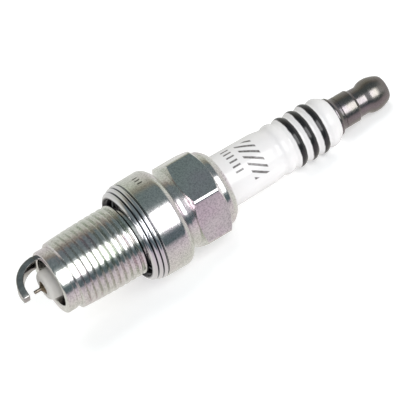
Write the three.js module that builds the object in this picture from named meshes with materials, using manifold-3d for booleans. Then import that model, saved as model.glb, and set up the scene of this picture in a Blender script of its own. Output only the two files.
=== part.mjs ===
// A resistor spark plug with a gasket seat: M14 thread, 19 mm reach, 16 mm hexagon, fine-wire tip.
// Units are millimetres. The plug's axis is X: the terminal is at +X and the firing end at -X.
// The origin is on the axis, in the plane of the shell's seat face, where the gasket bears.
import * as THREE from "three";
import { mergeVertices } from "three/addons/utils/BufferGeometryUtils.js";
import Module from "manifold-3d";

const wasm = await Module();
wasm.setup();

// ---------------------------------------------------------------- driving dimensions
const ROUND_SIDES = 32; // facets round the shell, the insulator and the gasket
const SMALL_SIDES = 20; // facets round the thin pieces
const ARC_STEPS = 4; // facets along a quarter round in a profile

const FIT = 0.06; // radial clearance between turned pieces that sit inside each other
const THREAD_CLEARANCE = 0.1; // radial clearance of the nut's bore on the stud's thread

// mounting thread, M14 x 1.25
const REACH = 19; // seat face to the shell's firing end
const THREAD_RADIUS = 7;
const THREAD_PITCH = 1.25;
const THREAD_DEPTH = 0.767;
const THREAD_LEAD = 2; // plain spigot in front of the thread
const LEAD_DEPTH = 0.88; // how far the plain spigot lies under the thread's crest
const RELIEF_LENGTH = 2.1; // undercut between the thread and the seat
const RELIEF_DEPTH = 0.9; // how far the undercut lies under the thread's crest
const THREAD_STEPS = 16; // facets in one turn of the mounting thread

// shell outside
const SEAT_WIDTH = 2.5; // seat face outside the thread's crest
const COLLAR_LENGTH = 6.1;
const COLLAR_ROUND = 1.4; // round on the collar's hexagon side
const COLLAR_CHAMFER = 0.3; // chamfer beside the seat face
const NECK_WALL = 1.1;
const NECK_LENGTH = 1.8;
const HEX_FLATS = 16;
const HEX_LENGTH = 6.4;
const HEX_CHAMFER = 0.72; // axial length of the turned chamfer on the corners
const CRIMP_SKIRT = 1.35; // wall of the rolled rim, where it leaves the hexagon
const CRIMP_LENGTH = 2.7;
const RIM_SKIRT_LENGTH = 1.2; // nearly straight part of the rolled rim
const RIM_SKIRT_TAPER = 0.1; // radius lost along the skirt
const RIM_SHOULDER_LENGTH = 2.15; // hexagon to the end of the rim's rounded shoulder
const RIM_SHOULDER_DROP = 0.8; // radius lost up to there
const RIM_FACE_WIDTH = 0.45; // end face of the rim, measured out from the insulator
const HEX_CLOCK = 0; // a corner points straight up

// shell inside
const SHELL_MOUTH_RADIUS = 4.65;
const MOUTH_CHAMFER = 0.2;
const LEDGE_RADIUS = 3.8; // inner ledge that carries the insulator
const LEDGE_FRONT = 10.3; // ledge's firing side, back from the seat face
const LEDGE_SEAT = 7.6; // start of the ledge's conical seat, back from the seat face
const SEAT_CONE_SLOPE = 0.6; // axial run of the seat cone for each mm of radius
const BODY_BORE_RADIUS = 4.95;
const PACKING_ROOM = 0.95; // radial room for the packing between the barrel and the shell's bore
const FLANGE_BORE_START = 4.6;
const BORE_CONE_LENGTH = 1;
const CRIMP_WALL = 1.1;

// insulator
const NOSE_PROJECTION = 1.6; // nose past the shell's end
const NOSE_TIP_RADIUS = 2.75;
const NOSE_TIP_ROUND = 0.8;
const NOSE_BASE_RADIUS = 3.45;
const SEAT_WASHER_THICKNESS = 0.35;
const FLANGE_LENGTH = 6.3; // widest part of the insulator, under the hexagon
const BARREL_RADIUS = 5.1;
const BARREL_TOP_RADIUS = 4.97; // the barrel tapers slightly towards the ribs
const BARREL_LENGTH = 26.7; // seat face to the end of the barrel's taper
const RIB_RADIUS = 5;
const RIB_VALLEY_RADIUS = 4.5;
const RIB_PITCH = 2.5;
const FIRST_RIB = 29.75; // seat face to the first rib's crest
const RIB_COUNT = 4;
const HEAD_RADIUS = 4.82; // rounded head behind the last rib
const HEAD_END = 41.5; // seat face to the insulator's end face
const STUD_BORE_RADIUS = 1.95;
const WIRE_BORE_RADIUS = 1.28;
const BORE_STEP = 8.6; // step between the two bores, back from the seat face
const BORE_STEP_LENGTH = 0.6;

// centre electrode and tip
const WIRE_HEAD_LENGTH = 1.1;
const WIRE_SHOULDER = 0.5; // axial length of the concave shoulder that carries the tip
const CORE_RADIUS = 0.6;
const CORE_FRONT = 18.6; // front end of the copper core, back from the seat face
const TIP_RADIUS = 0.32;
const TIP_LENGTH = 1.8; // whole length, its socket included
const TIP_SOCKET = 0.5; // how deep the tip sits in the electrode

// ground electrode
const STRAP_WIDTH = 2.6;
const STRAP_THICKNESS = 1.3;
const STRAP_CLOCK = -65; // degrees about the axis from straight up
const STRAP_BEND_RADIUS = 4.3; // inside radius of the bend
const STRAP_OVERRUN = 0.55; // strap's free end past the axis
const STRAP_END_WIDTH = 1.5; // the free end is cut to a taper
const STRAP_TAPER_LENGTH = 2.2;
const SPARK_GAP = 1.1;

// seal stack in the insulator's bore
const LOWER_GLASS_LENGTH = 3.6;
const RESISTOR_LENGTH = 11;
const UPPER_GLASS_LENGTH = 4.4;
const STUD_ROOT_DEPTH = 3; // how deep the stud's knurled root sits in the upper glass
const STUD_ROOT_RADIUS = 1.4;

// terminal stud and nut
const STUD_SHAFT_CLEARANCE = 0.2; // radial clearance of the stud in the insulator's bore
const STUD_FLANGE_RADIUS = 3.8;
const STUD_FLANGE_THICKNESS = 1.7;
const STUD_EDGE = 0.25; // chamfer on the flange's rim and on the stud's end
const STUD_THREAD_RADIUS = 2;
const STUD_THREAD_PITCH = 0.7;
const STUD_THREAD_DEPTH = 0.43;
const STUD_THREAD_LENGTH = 8;
const STUD_THREAD_STEPS = 10; // facets in one turn of the stud's thread
const NUT_LENGTH = 10;
const NUT_BASE_RADIUS = 3.12;
const NUT_BASE_LENGTH = 2.9;
const NUT_GROOVE_RADIUS = 2.72;
const NUT_GROOVE_LENGTH = 2.2;
const NUT_HEAD_RADIUS = 3.2;
const NUT_FACE_RADIUS = 1.7; // flat end of the terminal
const NUT_BORE_END_WALL = 1.2;

// gasket, a folded steel ring held captive by the thread
const GASKET_SETBACK = 0.05; // the gasket's rim inside the collar's
const GASKET_BORE_CLEARANCE = 0.6; // over the thread's crest
const GASKET_THICKNESS = 2.8;
const GASKET_ROUND = 0.95;
const GASKET_LIP_CATCH = 0.4; // how far the lip reaches inside the thread's crest
const GASKET_LIP_THICKNESS = 0.5;
const GASKET_LIP_SETBACK = 0.5; // from the seat face to the lip

// packing behind the insulator's flange
const PACKING_WIRE_RADIUS = 0.42;
const PACKING_SIDES = 8;
const TALC_LENGTH = 0.9;

// ---------------------------------------------------------------- places worked out from them
const shellEnd = -REACH;
const noseTip = shellEnd - NOSE_PROJECTION;
const threadRootRadius = THREAD_RADIUS - THREAD_DEPTH;
const leadRadius = THREAD_RADIUS - LEAD_DEPTH;
const reliefRadius = THREAD_RADIUS - RELIEF_DEPTH;
const collarRadius = THREAD_RADIUS + SEAT_WIDTH;
const flangeBoreRadius = BARREL_RADIUS + PACKING_ROOM;
const neckRadius = flangeBoreRadius + NECK_WALL;
const crimpRadius = flangeBoreRadius + CRIMP_SKIRT;
const neckEnd = COLLAR_LENGTH + NECK_LENGTH;
const hexEnd = neckEnd + HEX_LENGTH;
const crimpEnd = hexEnd + CRIMP_LENGTH;
const bodyRadius = BODY_BORE_RADIUS - 3 * FIT;
const flangeRadius = flangeBoreRadius - 3 * FIT;
const ledgeSeat = -LEDGE_SEAT;
const flangeStart = FLANGE_BORE_START + 2 * FIT;
const flangeEnd = flangeStart + BORE_CONE_LENGTH + FLANGE_LENGTH;
const flangeShoulder = (flangeRadius - BARREL_RADIUS) * 0.8;
const boreStep = -BORE_STEP;
const wireHeadEnd = boreStep + BORE_STEP_LENGTH + WIRE_HEAD_LENGTH;
const lowerGlassEnd = wireHeadEnd + LOWER_GLASS_LENGTH;
const resistorEnd = lowerGlassEnd + RESISTOR_LENGTH;
const upperGlassEnd = resistorEnd + UPPER_GLASS_LENGTH;
const studRoot = upperGlassEnd - STUD_ROOT_DEPTH;
const studShaftRadius = STUD_BORE_RADIUS - STUD_SHAFT_CLEARANCE;
const studFlangeTop = HEAD_END + STUD_FLANGE_THICKNESS;
const nutEnd = studFlangeTop + NUT_LENGTH;
const gasketRadius = collarRadius - GASKET_SETBACK;
const gasketBoreRadius = THREAD_RADIUS + GASKET_BORE_CLEARANCE;
const tipFace = noseTip - WIRE_SHOULDER - TIP_LENGTH + TIP_SOCKET;
const strapInnerFace = tipFace - SPARK_GAP;

// ---------------------------------------------------------------- materials
function metal(color, roughness, metalness = 1) {
  return new THREE.MeshStandardMaterial({ color, roughness, metalness });
}

function earth(color, roughness) {
  return new THREE.MeshStandardMaterial({ color, roughness, metalness: 0 });
}

const platedSteel = metal(0xc9ccc6, 0.25);
const gasketSteel = metal(0xd2d2da, 0.22);
const nickelAlloy = metal(0x8f8f8d, 0.35);
const copper = metal(0xb87046, 0.35);
const iridium = metal(0x9c9488, 0.3);
const gunmetal = metal(0x5b5657, 0.32);
const packingSteel = metal(0x9a9a9a, 0.5);
const glazedAlumina = earth(0xf1f1ee, 0.12);
const sealGlass = earth(0x4d4a45, 0.4);
const resistorMass = earth(0x2e2c2b, 0.8);
const talc = earth(0xd9d6cd, 0.95);

// ---------------------------------------------------------------- shaping tools
// A turned solid from [x, radius] points that run from -X to +X along the outside. A ring's profile
// goes on back along its inside and is closed here; any other profile starts and ends on the axis.
function turned(profile, sides = ROUND_SIDES) {
  const points = profile.map(([x, radius]) => new THREE.Vector2(radius, x));
  if (profile.every(([, radius]) => radius > 0)) points.push(points[0].clone());
  return new THREE.LatheGeometry(points, sides).rotateZ(-Math.PI / 2);
}

// Points of an arc in a profile, centre first, with angles in degrees from +X towards larger radius.
function arc([x, radius], size, from, to, steps = ARC_STEPS) {
  return Array.from({ length: steps + 1 }, (_, i) => {
    const angle = THREE.MathUtils.degToRad(from + ((to - from) * i) / steps);
    return [x + size * Math.cos(angle), radius + size * Math.sin(angle)];
  });
}

function solidOf(geometry) {
  const bare = geometry.clone();
  bare.deleteAttribute("normal");
  bare.deleteAttribute("uv");
  const merged = mergeVertices(bare, 1e-4);
  return new wasm.Manifold(
    new wasm.Mesh({
      numProp: 3,
      vertProperties: merged.attributes.position.array,
      triVerts: new Uint32Array(merged.index.array),
    }),
  );
}

function geometryOf(solid) {
  const { vertProperties, triVerts } = solid.getMesh();
  return new THREE.BufferGeometry()
    .setAttribute("position", new THREE.BufferAttribute(vertProperties, 3))
    .setIndex(new THREE.BufferAttribute(triVerts, 1))
    .toNonIndexed();
}

// The ridge of an outside thread: a straight bar of V section, wound round the axis. It rises from
// the root over half a turn at each end, as a cut thread does.
function threadRidge({ start, length, radius, depth, pitch, steps }) {
  const sunk = 0.15 * pitch; // how far the ridge's base is sunk into the core
  const crest = pitch / 8;
  const section = new THREE.Shape([
    new THREE.Vector2(-pitch / 2, -depth - sunk),
    new THREE.Vector2(pitch / 2, -depth - sunk),
    new THREE.Vector2(crest / 2, 0),
    new THREE.Vector2(-crest / 2, 0),
  ]);
  const turns = (length - pitch) / pitch;
  const bar = new THREE.ExtrudeGeometry(section, {
    depth: turns,
    steps: Math.round(turns * steps),
    bevelEnabled: false,
  });
  const position = bar.getAttribute("position");
  for (let i = 0; i < position.count; i++) {
    const turn = position.getZ(i);
    const rise = Math.min(1, 2 * turn, 2 * (turns - turn)) - 1;
    const height = Math.max(position.getY(i) + depth * rise, -depth - sunk);
    const sideways = position.getX(i) + start + pitch / 2 + pitch * turn;
    const angle = 2 * Math.PI * turn;
    position.setXYZ(
      i,
      sideways,
      (radius + height) * Math.cos(angle),
      (radius + height) * Math.sin(angle),
    );
  }
  return bar;
}

// A solid is turned about the plug's axis by an angle in degrees: 0 leaves +Z pointing up.
function clocked(geometry, degrees) {
  return geometry.rotateX(THREE.MathUtils.degToRad(degrees));
}

// ---------------------------------------------------------------- metal shell
function shellOutside() {
  const lead = shellEnd + THREAD_LEAD;
  return [
    [shellEnd, SHELL_MOUTH_RADIUS + MOUTH_CHAMFER],
    [shellEnd, leadRadius - MOUTH_CHAMFER],
    [shellEnd + MOUTH_CHAMFER, leadRadius],
    [lead, leadRadius],
    [lead, threadRootRadius],
    [-RELIEF_LENGTH, threadRootRadius],
    [-RELIEF_LENGTH, reliefRadius],
    [0, reliefRadius],
    [0, collarRadius - COLLAR_CHAMFER],
    [COLLAR_CHAMFER, collarRadius],
    ...arc([COLLAR_LENGTH - COLLAR_ROUND, collarRadius - COLLAR_ROUND], COLLAR_ROUND, 90, 0),
    [COLLAR_LENGTH + FIT, neckRadius],
    [neckEnd - NECK_LENGTH / 3, neckRadius],
    [neckEnd, HEX_FLATS / 2 - HEX_CHAMFER / 3],
    [hexEnd, crimpRadius],
    [hexEnd + RIM_SKIRT_LENGTH, crimpRadius - RIM_SKIRT_TAPER],
    [hexEnd + RIM_SHOULDER_LENGTH, crimpRadius - RIM_SHOULDER_DROP],
    [crimpEnd, BARREL_RADIUS + RIM_FACE_WIDTH],
  ];
}

// The bore, from the rolled lip at the top to the mouth at the firing end.
function shellInside() {
  const lipFront = crimpEnd - CRIMP_WALL;
  const seatTop = ledgeSeat + (BODY_BORE_RADIUS - LEDGE_RADIUS) * SEAT_CONE_SLOPE;
  return [
    [crimpEnd, BARREL_RADIUS + FIT],
    [lipFront, BARREL_RADIUS + FIT],
    [lipFront - CRIMP_WALL / 2, flangeBoreRadius],
    [FLANGE_BORE_START + BORE_CONE_LENGTH, flangeBoreRadius],
    [FLANGE_BORE_START, BODY_BORE_RADIUS],
    [seatTop, BODY_BORE_RADIUS],
    [ledgeSeat, LEDGE_RADIUS],
    [-LEDGE_FRONT, LEDGE_RADIUS],
    [-LEDGE_FRONT - BORE_CONE_LENGTH, SHELL_MOUTH_RADIUS],
    [shellEnd + MOUTH_CHAMFER, SHELL_MOUTH_RADIUS],
  ];
}

// Hexagon with its corners turned down to a chamfer at both ends.
function hexagon() {
  const corner = HEX_FLATS / Math.sqrt(3);
  const flat = HEX_FLATS / 2;
  const outline = new THREE.Shape(
    Array.from({ length: 6 }, (_, i) => {
      const angle = (i * Math.PI) / 3;
      return new THREE.Vector2(corner * Math.cos(angle), corner * Math.sin(angle));
    }),
  );
  const prism = new THREE.ExtrudeGeometry(outline, { depth: HEX_LENGTH, bevelEnabled: false });
  prism.rotateY(Math.PI / 2).translate(neckEnd, 0, 0);
  const beyond = corner + FIT;
  const turning = turned([
    [neckEnd, 0],
    [neckEnd, flat - HEX_CHAMFER / 3],
    [neckEnd + HEX_CHAMFER, beyond],
    [hexEnd - HEX_CHAMFER, beyond],
    [hexEnd, flat - HEX_CHAMFER / 3],
    [hexEnd, 0],
  ]);
  return solidOf(clocked(prism, HEX_CLOCK)).intersect(solidOf(turning));
}

function metalShell() {
  const thread = threadRidge({
    start: shellEnd + THREAD_LEAD,
    length: REACH - THREAD_LEAD - RELIEF_LENGTH,
    radius: THREAD_RADIUS,
    depth: THREAD_DEPTH,
    pitch: THREAD_PITCH,
    steps: THREAD_STEPS,
  });
  const outside = [[shellEnd, 0], ...shellOutside(), [crimpEnd, 0]];
  const inside = shellInside().reverse();
  const bore = turned([
    [shellEnd - FIT, 0],
    [shellEnd - FIT, SHELL_MOUTH_RADIUS + MOUTH_CHAMFER + FIT],
    ...inside,
    [crimpEnd + FIT, BARREL_RADIUS + FIT],
    [crimpEnd + FIT, 0],
  ]);
  const body = solidOf(turned(outside)).add(hexagon()).add(solidOf(thread));
  return geometryOf(body.subtract(solidOf(bore)));
}

// ---------------------------------------------------------------- ground electrode
// A flat strap that stands on the shell's end face and is bent over the tip. Its free end tapers.
function groundElectrode() {
  const weldRadius = (SHELL_MOUTH_RADIUS + leadRadius) / 2;
  const inner = weldRadius - STRAP_THICKNESS / 2;
  const outer = weldRadius + STRAP_THICKNESS / 2;
  const outerFace = strapInnerFace - STRAP_THICKNESS;
  const bendCentre = [strapInnerFace + STRAP_BEND_RADIUS, inner - STRAP_BEND_RADIUS];
  const bendSteps = 2 * ARC_STEPS;
  const side = [
    [shellEnd, inner],
    ...arc(bendCentre, STRAP_BEND_RADIUS, 90, 180, bendSteps),
    [strapInnerFace, -STRAP_OVERRUN],
    [outerFace, -STRAP_OVERRUN],
    ...arc(bendCentre, STRAP_BEND_RADIUS + STRAP_THICKNESS, 180, 90, bendSteps),
    [shellEnd, outer],
  ];
  const sideShape = new THREE.Shape(side.map(([x, height]) => new THREE.Vector2(x, height)));
  const strap = new THREE.ExtrudeGeometry(sideShape, { depth: STRAP_WIDTH, bevelEnabled: false });
  strap.translate(0, 0, -STRAP_WIDTH / 2).rotateX(Math.PI / 2);

  const reachOut = STRAP_WIDTH + outer;
  const plan = new THREE.Shape([
    new THREE.Vector2(-STRAP_END_WIDTH / 2, -STRAP_OVERRUN),
    new THREE.Vector2(STRAP_END_WIDTH / 2, -STRAP_OVERRUN),
    new THREE.Vector2(STRAP_WIDTH / 2, STRAP_TAPER_LENGTH - STRAP_OVERRUN),
    new THREE.Vector2(STRAP_WIDTH / 2, reachOut),
    new THREE.Vector2(-STRAP_WIDTH / 2, reachOut),
    new THREE.Vector2(-STRAP_WIDTH / 2, STRAP_TAPER_LENGTH - STRAP_OVERRUN),
  ]);
  const before = outerFace - STRAP_THICKNESS;
  const cutter = new THREE.ExtrudeGeometry(plan, { depth: shellEnd - before, bevelEnabled: false });
  cutter.rotateX(Math.PI / 2).rotateZ(Math.PI / 2).translate(before, 0, 0);
  const cut = solidOf(strap).intersect(solidOf(cutter));
  return clocked(geometryOf(cut), STRAP_CLOCK);
}

// ---------------------------------------------------------------- insulator
// One rounded rib: from the valley before it over the crest, with the valley after it left out.
function rib(crest, radius) {
  const rise = radius - RIB_VALLEY_RADIUS;
  return [
    [crest - 0.48 * RIB_PITCH, RIB_VALLEY_RADIUS],
    [crest - 0.32 * RIB_PITCH, radius - 0.25 * rise],
    [crest - 0.12 * RIB_PITCH, radius],
    [crest + 0.12 * RIB_PITCH, radius],
    [crest + 0.34 * RIB_PITCH, radius - 0.4 * rise],
  ];
}

// The insulator's shoulder runs parallel to the shell's seat cone, one washer away from it.
function shoulderX(radius) {
  return ledgeSeat + SEAT_WASHER_THICKNESS + (radius - LEDGE_RADIUS) * SEAT_CONE_SLOPE;
}

function insulator() {
  const ribs = Array.from({ length: RIB_COUNT }, (_, i) => rib(FIRST_RIB + i * RIB_PITCH, RIB_RADIUS));
  const headCrest = FIRST_RIB + RIB_COUNT * RIB_PITCH - 0.05 * RIB_PITCH;
  return turned([
    [noseTip, WIRE_BORE_RADIUS],
    ...arc([noseTip + NOSE_TIP_ROUND, NOSE_TIP_RADIUS - NOSE_TIP_ROUND], NOSE_TIP_ROUND, 180, 90, 2),
    [shoulderX(NOSE_BASE_RADIUS), NOSE_BASE_RADIUS],
    [shoulderX(bodyRadius), bodyRadius],
    [flangeStart, bodyRadius],
    [flangeStart + BORE_CONE_LENGTH, flangeRadius],
    [flangeEnd, flangeRadius],
    [flangeEnd + flangeShoulder, BARREL_RADIUS],
    [crimpEnd, BARREL_RADIUS],
    [BARREL_LENGTH, BARREL_TOP_RADIUS],
    ...ribs.flat(),
    [headCrest - 0.44 * RIB_PITCH, RIB_VALLEY_RADIUS],
    [headCrest - 0.2 * RIB_PITCH, HEAD_RADIUS],
    [headCrest + 0.15 * RIB_PITCH, HEAD_RADIUS - 0.1],
    [headCrest + 0.6 * RIB_PITCH, (HEAD_RADIUS + STUD_FLANGE_RADIUS) / 2],
    [HEAD_END, STUD_FLANGE_RADIUS + FIT],
    [HEAD_END, STUD_BORE_RADIUS],
    [boreStep + BORE_STEP_LENGTH, STUD_BORE_RADIUS],
    [boreStep, WIRE_BORE_RADIUS],
  ]);
}

// ---------------------------------------------------------------- centre electrode
function centreElectrode() {
  const stem = WIRE_BORE_RADIUS - FIT / 2;
  const head = STUD_BORE_RADIUS - FIT;
  const shoulderEnd = noseTip - WIRE_SHOULDER;
  const coreFit = CORE_RADIUS + FIT / 2;
  const socket = TIP_RADIUS + FIT / 2;
  const profile = [
    [shoulderEnd + TIP_SOCKET, 0],
    [shoulderEnd + TIP_SOCKET, socket],
    [shoulderEnd, socket],
    [shoulderEnd, socket + FIT],
    [shoulderEnd + 0.5 * WIRE_SHOULDER, TIP_RADIUS + 0.4 * (stem - TIP_RADIUS)],
    [noseTip, stem],
    [boreStep, stem],
    [boreStep + BORE_STEP_LENGTH, head],
    [wireHeadEnd, head],
    [wireHeadEnd, coreFit],
    [-CORE_FRONT, coreFit],
    [-CORE_FRONT, 0],
  ];
  return turned(profile, SMALL_SIDES);
}

function bar(start, end, radius) {
  const profile = [
    [start, 0],
    [start, radius],
    [end, radius],
    [end, 0],
  ];
  return turned(profile, SMALL_SIDES);
}

function iridiumTip() {
  return bar(tipFace, noseTip - WIRE_SHOULDER + TIP_SOCKET, TIP_RADIUS);
}

function copperCore() {
  return bar(-CORE_FRONT, wireHeadEnd, CORE_RADIUS);
}

// ---------------------------------------------------------------- seal stack
function lowerGlassSeal() {
  return bar(wireHeadEnd, lowerGlassEnd, STUD_BORE_RADIUS - FIT / 2);
}

function resistor() {
  return bar(lowerGlassEnd, resistorEnd, STUD_BORE_RADIUS - FIT / 2);
}

function upperGlassSeal() {
  const radius = STUD_BORE_RADIUS - FIT / 2;
  const cup = STUD_ROOT_RADIUS + FIT / 2;
  const profile = [
    [resistorEnd, 0],
    [resistorEnd, radius],
    [upperGlassEnd, radius],
    [upperGlassEnd, cup],
    [studRoot, cup],
    [studRoot, 0],
  ];
  return turned(profile, SMALL_SIDES);
}

// ---------------------------------------------------------------- terminal
function terminalStud() {
  const core = STUD_THREAD_RADIUS - STUD_THREAD_DEPTH;
  const profile = [
    [studRoot, 0],
    [studRoot, STUD_ROOT_RADIUS],
    [upperGlassEnd, STUD_ROOT_RADIUS],
    [upperGlassEnd, studShaftRadius],
    [HEAD_END, studShaftRadius],
    [HEAD_END, STUD_FLANGE_RADIUS],
    [HEAD_END + STUD_EDGE, STUD_FLANGE_RADIUS],
    [studFlangeTop - STUD_EDGE, NUT_BASE_RADIUS + STUD_EDGE],
    [studFlangeTop, NUT_BASE_RADIUS],
    [studFlangeTop, core],
    [studFlangeTop + STUD_THREAD_LENGTH - STUD_EDGE, core],
    [studFlangeTop + STUD_THREAD_LENGTH, core - STUD_EDGE],
    [studFlangeTop + STUD_THREAD_LENGTH, 0],
  ];
  const thread = threadRidge({
    start: studFlangeTop + STUD_THREAD_PITCH / 2,
    length: STUD_THREAD_LENGTH - STUD_THREAD_PITCH,
    radius: STUD_THREAD_RADIUS,
    depth: STUD_THREAD_DEPTH,
    pitch: STUD_THREAD_PITCH,
    steps: STUD_THREAD_STEPS,
  });
  return geometryOf(solidOf(turned(profile, SMALL_SIDES)).add(solidOf(thread)));
}

// The screwed-on nut that the ignition lead's cap snaps over.
function terminalNut() {
  const bore = STUD_THREAD_RADIUS + THREAD_CLEARANCE;
  const grooveStart = studFlangeTop + NUT_BASE_LENGTH;
  const grooveEnd = grooveStart + NUT_GROOVE_LENGTH;
  const blend = NUT_GROOVE_LENGTH / 6;
  const headRound = NUT_HEAD_RADIUS - NUT_FACE_RADIUS;
  const profile = [
    [nutEnd - NUT_BORE_END_WALL, 0],
    [nutEnd - NUT_BORE_END_WALL, bore],
    [studFlangeTop + blend, bore],
    [studFlangeTop, bore + blend],
    [studFlangeTop, NUT_BASE_RADIUS - FIT],
    [studFlangeTop + FIT, NUT_BASE_RADIUS],
    [grooveStart, NUT_BASE_RADIUS],
    [grooveStart + blend, NUT_GROOVE_RADIUS],
    [grooveEnd - blend, NUT_GROOVE_RADIUS],
    [grooveEnd + 2 * blend, NUT_HEAD_RADIUS],
    ...arc([nutEnd - headRound, NUT_FACE_RADIUS], headRound, 90, 0),
    [nutEnd, 0],
  ];
  return turned(profile, SMALL_SIDES);
}

// ---------------------------------------------------------------- gasket and packing
// A ring folded from sheet steel: a round bead outside, a flat sealing face at the front, and a thin
// lip inside that is smaller than the thread's crest, so the ring stays on the plug.
function gasket() {
  const lipTop = -GASKET_LIP_SETBACK;
  const lipBottom = lipTop - GASKET_LIP_THICKNESS;
  const lipRadius = THREAD_RADIUS - GASKET_LIP_CATCH;
  const front = -GASKET_THICKNESS;
  const outer = gasketRadius - GASKET_ROUND;
  return turned([
    [front, gasketBoreRadius],
    ...arc([front + GASKET_ROUND, outer], GASKET_ROUND, 180, 90),
    [-COLLAR_CHAMFER, gasketRadius],
    [0, gasketRadius - COLLAR_CHAMFER],
    [0, gasketBoreRadius],
    [lipTop, gasketBoreRadius],
    [lipTop, lipRadius],
    [lipBottom, lipRadius],
    [lipBottom, gasketBoreRadius],
  ]);
}

// The soft steel washer between the insulator's shoulder and the shell's ledge.
function seatWasher() {
  const innerRadius = LEDGE_RADIUS + FIT;
  const outerRadius = bodyRadius - FIT;
  const cone = (radius, lift) => [ledgeSeat + lift + (radius - LEDGE_RADIUS) * SEAT_CONE_SLOPE, radius];
  return turned([
    cone(innerRadius, 0),
    cone(outerRadius, 0),
    cone(outerRadius, SEAT_WASHER_THICKNESS),
    cone(innerRadius, SEAT_WASHER_THICKNESS),
  ]);
}

const packingMiddle = (BARREL_RADIUS + flangeBoreRadius) / 2;
const lowerRingCentre = flangeEnd + flangeShoulder + PACKING_WIRE_RADIUS;
const talcStart = lowerRingCentre + PACKING_WIRE_RADIUS;
const talcEnd = talcStart + TALC_LENGTH;

function wireRing(centre) {
  return turned(arc([centre, packingMiddle], PACKING_WIRE_RADIUS, 180, 180 - 315, PACKING_SIDES - 1));
}

function talcRing() {
  return turned([
    [talcStart, BARREL_RADIUS + FIT],
    [talcStart, flangeBoreRadius - FIT],
    [talcEnd, flangeBoreRadius - FIT],
    [talcEnd, BARREL_RADIUS + FIT],
  ]);
}

// ---------------------------------------------------------------- assembly
const plug = new THREE.Group();

// Adds one named sub-part, with a material of its own.
function place(name, geometry, material) {
  const mesh = new THREE.Mesh(geometry, material.clone());
  mesh.name = name;
  plug.add(mesh);
}

place("metal_shell", metalShell(), platedSteel);
place("ground_electrode", groundElectrode(), nickelAlloy);
place("insulator", insulator(), glazedAlumina);
place("centre_electrode", centreElectrode(), nickelAlloy);
place("copper_core", copperCore(), copper);
place("iridium_tip", iridiumTip(), iridium);
place("lower_glass_seal", lowerGlassSeal(), sealGlass);
place("resistor", resistor(), resistorMass);
place("upper_glass_seal", upperGlassSeal(), sealGlass);
place("terminal_stud", terminalStud(), gunmetal);
place("terminal_nut", terminalNut(), gunmetal);
place("gasket", gasket(), gasketSteel);
place("seat_washer", seatWasher(), packingSteel);
place("lower_packing_ring", wireRing(lowerRingCentre), packingSteel);
place("talc_ring", talcRing(), talc);
place("upper_packing_ring", wireRing(talcEnd + PACKING_WIRE_RADIUS), packingSteel);

export default plug;
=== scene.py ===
"""A spark plug with an M14 thread, lying on a pale table. Lengths are in millimetres until a
piece is finished, when it is scaled to metres. The plug's axis is X, with the terminal at +X."""

import math

import bmesh
import bpy
from mathutils import Matrix, Vector


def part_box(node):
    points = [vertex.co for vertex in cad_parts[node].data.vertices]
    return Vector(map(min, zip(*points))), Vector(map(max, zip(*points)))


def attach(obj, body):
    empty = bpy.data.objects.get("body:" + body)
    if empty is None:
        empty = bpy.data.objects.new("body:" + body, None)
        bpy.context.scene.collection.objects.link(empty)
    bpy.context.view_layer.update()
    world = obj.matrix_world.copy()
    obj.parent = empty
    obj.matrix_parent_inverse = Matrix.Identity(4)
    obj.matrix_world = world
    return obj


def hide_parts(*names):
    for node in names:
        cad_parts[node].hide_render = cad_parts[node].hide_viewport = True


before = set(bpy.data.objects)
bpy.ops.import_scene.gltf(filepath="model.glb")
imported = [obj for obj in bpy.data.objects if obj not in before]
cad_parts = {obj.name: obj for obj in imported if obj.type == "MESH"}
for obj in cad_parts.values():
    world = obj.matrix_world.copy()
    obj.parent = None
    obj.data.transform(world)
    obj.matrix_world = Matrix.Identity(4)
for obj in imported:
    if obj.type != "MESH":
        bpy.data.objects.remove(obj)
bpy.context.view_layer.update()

# ------------------------------------------------------------------------------------------------
# Metal shell. One steel forging, turned and drilled, with a rolled M14 x 1.25 thread and a
# 16 mm hexagon. It is barrel plated bright nickel-chromate, which leaves a faint green and
# lavender tint, and its top rim is rolled over the insulator's shoulder.
MM = 0.001
AXIS = Vector((1, 0, 0))
shell_low, shell_high = (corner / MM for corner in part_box("metal_shell"))
firing_face = shell_low.x
rim_top = shell_high.x
collar_radius = 9.5
mouth_radius = 4.65
lead_radius = 6.12
thread_start, thread_end = firing_face + 2, -2.1
thread_pitch = 1.25
thread_root, thread_crest = 6.233, 7.0
thread_bed = thread_root - 0.25  # floor that the wound thread stands in
relief_radius = 6.1
ledge_radius, body_bore_radius, flange_bore_radius, rim_bore_radius = 3.8, 4.95, 6.05, 5.16
under_hexagon = 7.6  # the shell's own radius inside the hexagon
neck_start, hex_start, hex_end = 6.35, 7.9, 14.3
hex_across_flats = 16
hex_corner_round = 0.9
hex_chamfer_front, hex_chamfer_back = 0.75, 0.95
mark_turns, mark_half_turn = (84.5, 90.5, 96.5), 1.1  # degrees round the collar
mark_start, mark_end = 2.1, 3.1


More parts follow.
